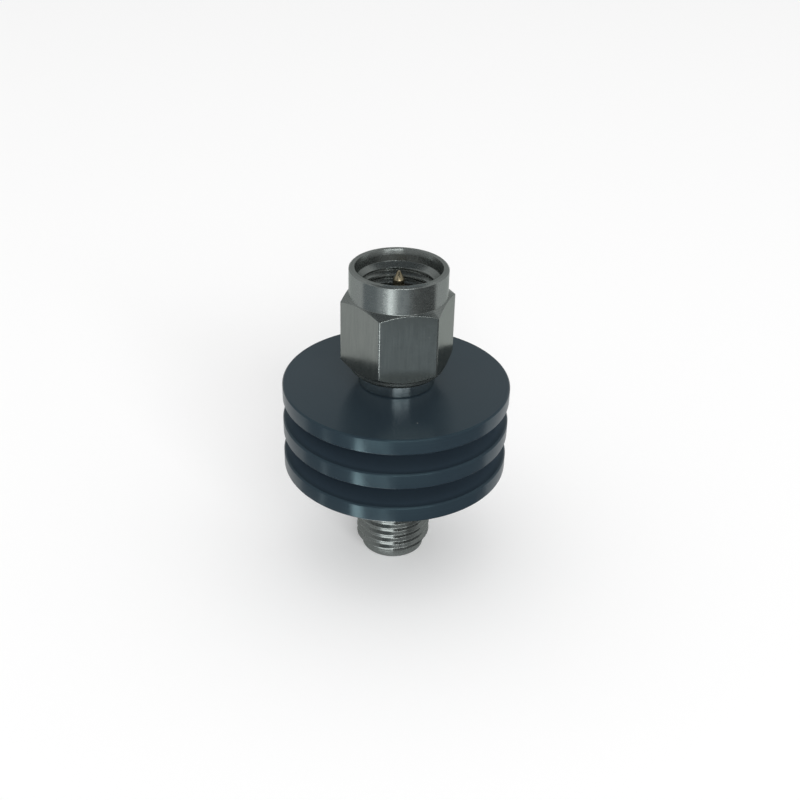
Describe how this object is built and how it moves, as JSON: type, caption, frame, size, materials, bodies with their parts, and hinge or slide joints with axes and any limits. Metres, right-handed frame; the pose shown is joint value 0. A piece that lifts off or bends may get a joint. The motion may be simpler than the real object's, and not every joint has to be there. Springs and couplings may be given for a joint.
{
  "type": "coaxial attenuator",
  "caption": "Fixed coaxial attenuator with a hexagon coupling nut on its plug, a threaded jack and a round finned heat sink between them.",
  "frame": {"origin": "centre of the jack's end face, which the part stands on", "axes": "+Z along the connector axis from the jack to the plug, +X and +Y across it"},
  "size_m": [0.0186, 0.0186, 0.0262],
  "materials": {
    "black_anodised": "black anodised, satin",
    "stainless": "turned and passivated, satin",
    "gold_plate": "gold plated, satin",
    "spring_bronze": "plain, satin",
    "carrier_brass": "turned, satin",
    "white_insulator": "turned fluoropolymer, waxy",
    "gasket_rubber": "silicone rubber, matt",
    "chip_ceramic": "fired ceramic with a resistor film"
  },
  "bodies": {
    "core": {"heat_sink": "black_anodised", "plug_gasket": "gasket_rubber", "plug_shell": "stainless", "plug_front_insulator": "white_insulator", "plug_rear_insulator": "white_insulator", "plug_pin": "gold_plate", "jack_shell": "stainless", "jack_front_insulator": "white_insulator", "jack_rear_insulator": "white_insulator", "jack_contact": "gold_plate", "front_carrier": "carrier_brass", "rear_carrier": "carrier_brass", "resistor_chip": "chip_ceramic"},
    "ring": {"retaining_ring": "spring_bronze"},
    "nut": {"coupling_nut": "stainless"}
  },
  "joints": [
    {"name": "nut_float", "type": "slide", "parent": "core", "child": "ring", "axis": [0, 0, 1], "range_m": [0, 0.0002]},
    {"name": "nut_turn", "type": "hinge", "parent": "ring", "child": "nut", "pos_m": [0, 0, 0.0217], "axis": [0, 0, 1], "continuous": true}
  ]
}
